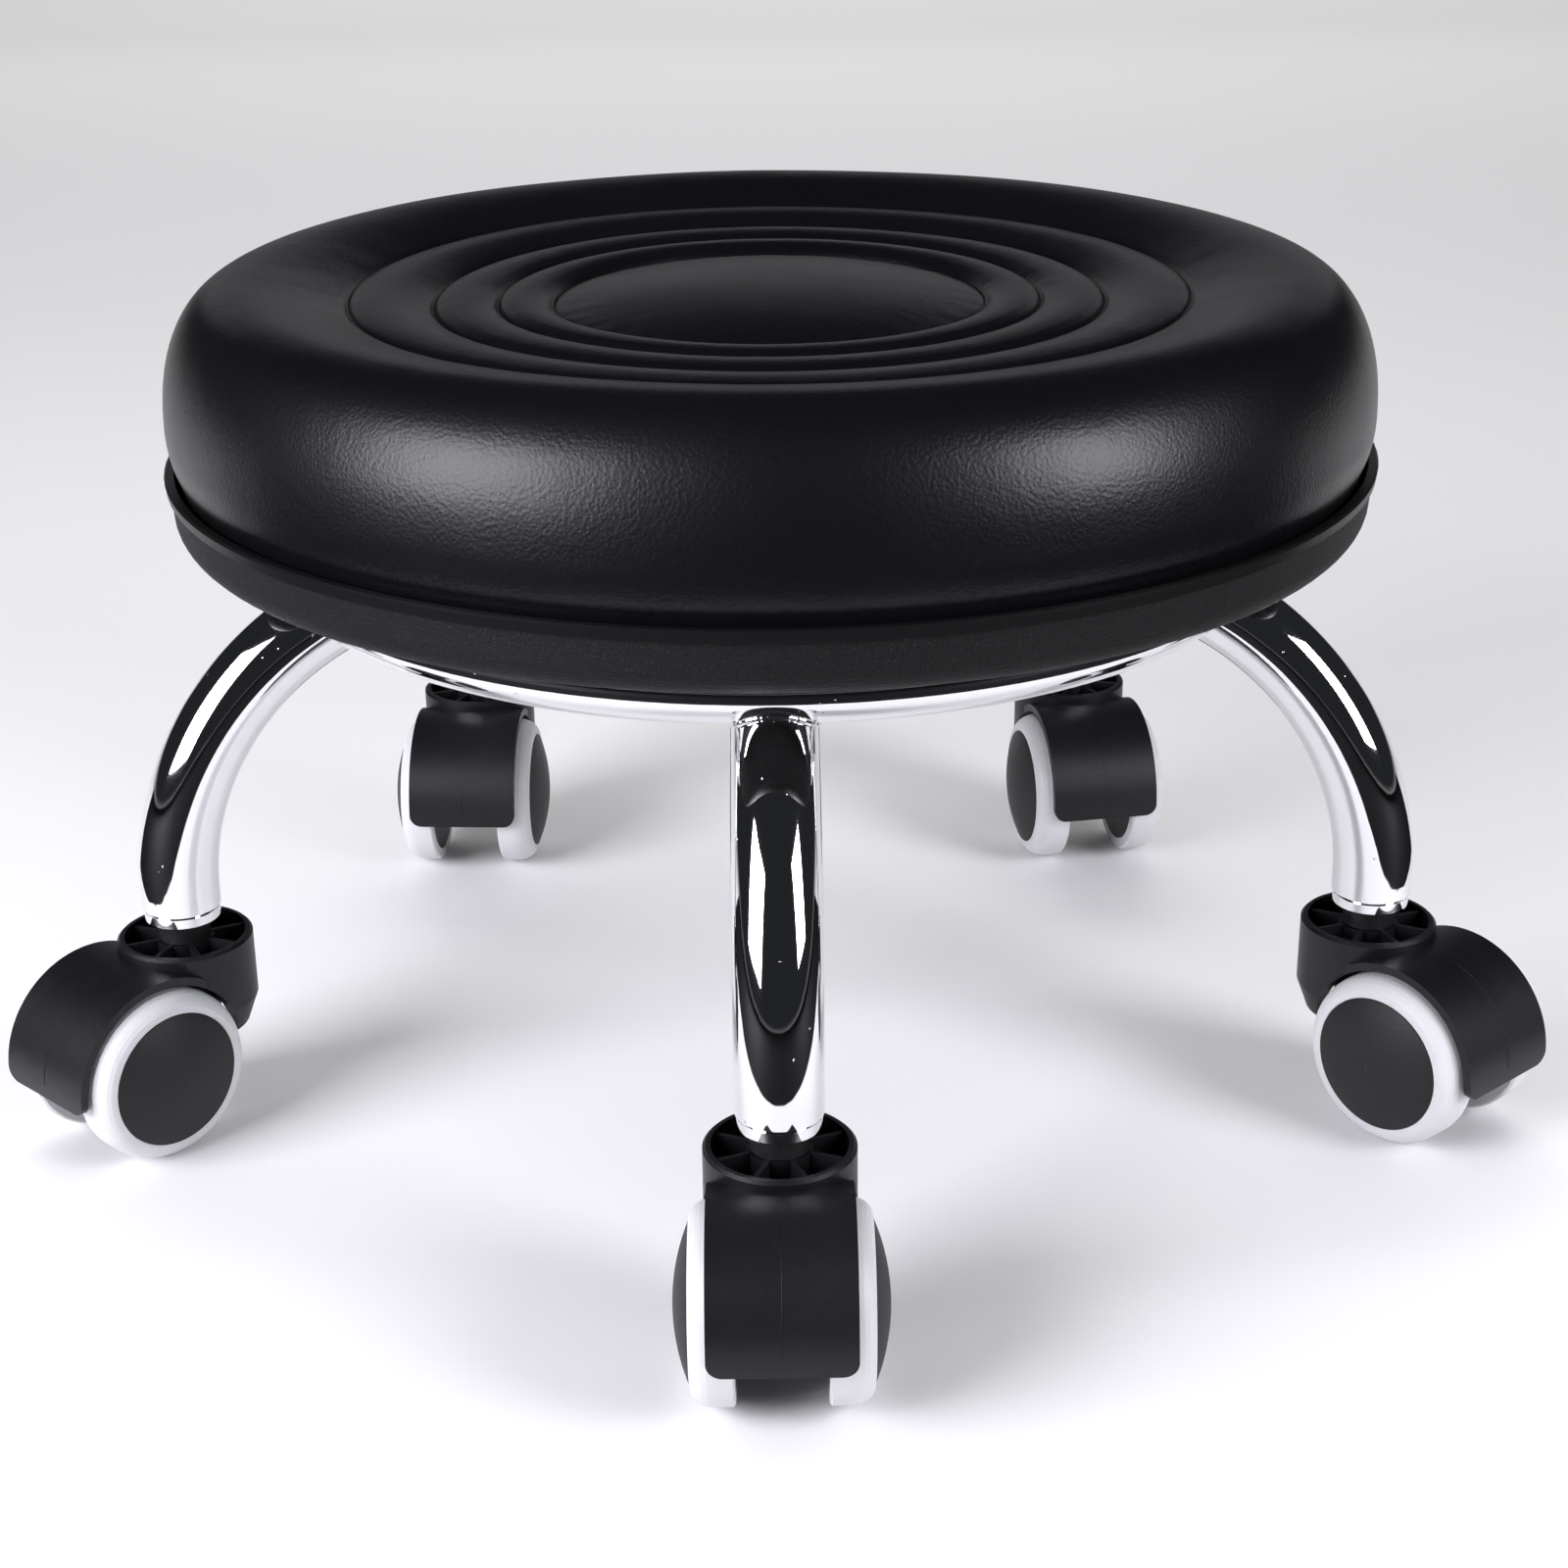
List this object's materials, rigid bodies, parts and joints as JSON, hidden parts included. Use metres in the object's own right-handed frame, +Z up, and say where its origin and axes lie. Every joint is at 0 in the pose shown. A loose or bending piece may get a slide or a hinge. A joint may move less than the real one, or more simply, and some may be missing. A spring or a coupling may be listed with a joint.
{
  "type": "rolling pedicure stool",
  "caption": "Low backless rolling stool: dished round padded seat in a plastic pan on a chromed ring frame with bent tube legs, each ending in a swivelling twin-wheel caster.",
  "frame": {"origin": "on the floor, on the axis of the circle through the caster stems, which is also the seat's axis", "axes": "+Z up, -Y towards the leg shown at the front, +X to the right seen from the front"},
  "size_m": [0.4279, 0.3945, 0.2316],
  "materials": {
    "seat_leather": "fine-grained synthetic leather, satin",
    "foam": "open-cell foam, hidden",
    "plywood": "raw plywood, hidden",
    "pan_plastic": "sand-grained moulding with a smooth lip",
    "chrome_tube": "bright chrome plate",
    "zinc_steel": "zinc plated",
    "hood_nylon": "fine satin moulding",
    "wheel_core": "moulded nylon",
    "wheel_tread": "smooth pale grey polyurethane",
    "wheel_cap": "fine satin moulding"
  },
  "bodies": {
    "stool": {"seat_cover": "seat_leather", "seat_foam": "foam", "seat_board": "plywood", "seat_pan": "pan_plastic", "t_nuts": "zinc_steel", "seat_screws": "zinc_steel", "screw_washers": "zinc_steel", "frame_ring": "chrome_tube", "mount_tabs": "chrome_tube", "leg_1": "chrome_tube", "leg_2": "chrome_tube", "leg_3": "chrome_tube", "leg_4": "chrome_tube", "leg_5": "chrome_tube", "leg_sockets": "chrome_tube", "caster_stems": "zinc_steel", "grip_rings": "zinc_steel"},
    "caster_1": {"hood_1": "hood_nylon", "axle_1": "zinc_steel"},
    "wheel_1a": {"core_1a": "wheel_core", "tread_1a": "wheel_tread", "cap_1a": "wheel_cap"},
    "wheel_1b": {"core_1b": "wheel_core", "tread_1b": "wheel_tread", "cap_1b": "wheel_cap"},
    "caster_2": {"hood_2": "hood_nylon", "axle_2": "zinc_steel"},
    "wheel_2a": {"core_2a": "wheel_core", "tread_2a": "wheel_tread", "cap_2a": "wheel_cap"},
    "wheel_2b": {"core_2b": "wheel_core", "tread_2b": "wheel_tread", "cap_2b": "wheel_cap"},
    "caster_3": {"hood_3": "hood_nylon", "axle_3": "zinc_steel"},
    "wheel_3a": {"core_3a": "wheel_core", "tread_3a": "wheel_tread", "cap_3a": "wheel_cap"},
    "wheel_3b": {"core_3b": "wheel_core", "tread_3b": "wheel_tread", "cap_3b": "wheel_cap"},
    "caster_4": {"hood_4": "hood_nylon", "axle_4": "zinc_steel"},
    "wheel_4a": {"core_4a": "wheel_core", "tread_4a": "wheel_tread", "cap_4a": "wheel_cap"},
    "wheel_4b": {"core_4b": "wheel_core", "tread_4b": "wheel_tread", "cap_4b": "wheel_cap"},
    "caster_5": {"hood_5": "hood_nylon", "axle_5": "zinc_steel"},
    "wheel_5a": {"core_5a": "wheel_core", "tread_5a": "wheel_tread", "cap_5a": "wheel_cap"},
    "wheel_5b": {"core_5b": "wheel_core", "tread_5b": "wheel_tread", "cap_5b": "wheel_cap"}
  },
  "joints": [
    {"name": "swivel_1", "type": "hinge", "parent": "stool", "child": "caster_1", "pos_m": [0, -0.176, 0.05], "axis": [0, 0, 1], "continuous": true},
    {"name": "roll_1a", "type": "hinge", "parent": "caster_1", "child": "wheel_1a", "pos_m": [0, -0.198, 0.0245], "axis": [1, 0, 0], "continuous": true},
    {"name": "roll_1b", "type": "hinge", "parent": "caster_1", "child": "wheel_1b", "pos_m": [0, -0.198, 0.0245], "axis": [1, 0, 0], "continuous": true},
    {"name": "swivel_2", "type": "hinge", "parent": "stool", "child": "caster_2", "pos_m": [0.16739, -0.05439, 0.05], "axis": [0, 0, 1], "continuous": true},
    {"name": "roll_2a", "type": "hinge", "parent": "caster_2", "child": "wheel_2a", "pos_m": [0.18182, -0.07099, 0.0245], "axis": [0.7547, 0.6561, 0], "continuous": true},
    {"name": "roll_2b", "type": "hinge", "parent": "caster_2", "child": "wheel_2b", "pos_m": [0.18182, -0.07099, 0.0245], "axis": [0.7547, 0.6561, 0], "continuous": true},
    {"name": "swivel_3", "type": "hinge", "parent": "stool", "child": "caster_3", "pos_m": [0.10345, 0.14239, 0.05], "axis": [0, 0, 1], "continuous": true},
    {"name": "roll_3a", "type": "hinge", "parent": "caster_3", "child": "wheel_3a", "pos_m": [0.10708, 0.12069, 0.0245], "axis": [0.9863, 0.165, 0], "continuous": true},
    {"name": "roll_3b", "type": "hinge", "parent": "caster_3", "child": "wheel_3b", "pos_m": [0.10708, 0.12069, 0.0245], "axis": [0.9863, 0.165, 0], "continuous": true},
    {"name": "swivel_4", "type": "hinge", "parent": "stool", "child": "caster_4", "pos_m": [-0.10345, 0.14239, 0.05], "axis": [0, 0, 1], "continuous": true},
    {"name": "roll_4a", "type": "hinge", "parent": "caster_4", "child": "wheel_4a", "pos_m": [-0.1046, 0.12042, 0.0245], "axis": [0.9986, -0.0523, 0], "continuous": true},
    {"name": "roll_4b", "type": "hinge", "parent": "caster_4", "child": "wheel_4b", "pos_m": [-0.1046, 0.12042, 0.0245], "axis": [0.9986, -0.0523, 0], "continuous": true},
    {"name": "swivel_5", "type": "hinge", "parent": "stool", "child": "caster_5", "pos_m": [-0.16739, -0.05439, 0.05], "axis": [0, 0, 1], "continuous": true},
    {"name": "roll_5a", "type": "hinge", "parent": "caster_5", "child": "wheel_5a", "pos_m": [-0.18239, -0.07048, 0.0245], "axis": [0.7314, -0.682, 0], "continuous": true},
    {"name": "roll_5b", "type": "hinge", "parent": "caster_5", "child": "wheel_5b", "pos_m": [-0.18239, -0.07048, 0.0245], "axis": [0.7314, -0.682, 0], "continuous": true}
  ]
}
